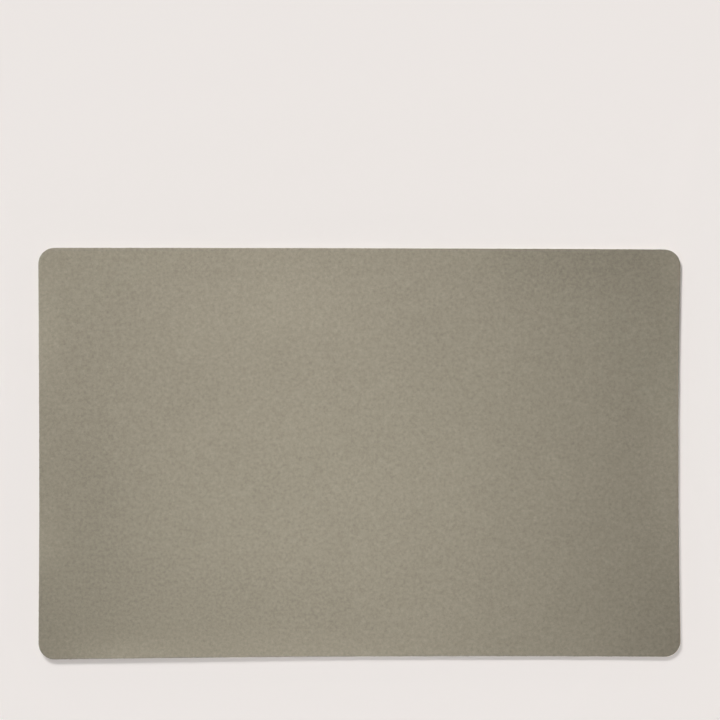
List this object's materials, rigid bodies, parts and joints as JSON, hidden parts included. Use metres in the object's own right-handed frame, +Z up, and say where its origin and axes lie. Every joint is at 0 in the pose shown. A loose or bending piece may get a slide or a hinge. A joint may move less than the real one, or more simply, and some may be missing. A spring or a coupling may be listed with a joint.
{
  "type": "desk mat",
  "caption": "Flat felt desk mat, a rounded rectangle with bare cut edges, laminated to a thin non-slip backing; protects a desk under a laptop or keyboard.",
  "frame": {"origin": "middle of the underside, on the desk's surface", "axes": "+X along the mat's width, +Y away from the person at the desk, +Z up out of the felt"},
  "size_m": [0.67, 0.427, 0.0055],
  "materials": {
    "felt": "matte",
    "film": "satin",
    "backing": "matte"
  },
  "bodies": {
    "root": {"felt_face": "felt", "bond_film": "film", "grip_backing": "backing"}
  },
  "joints": []
}
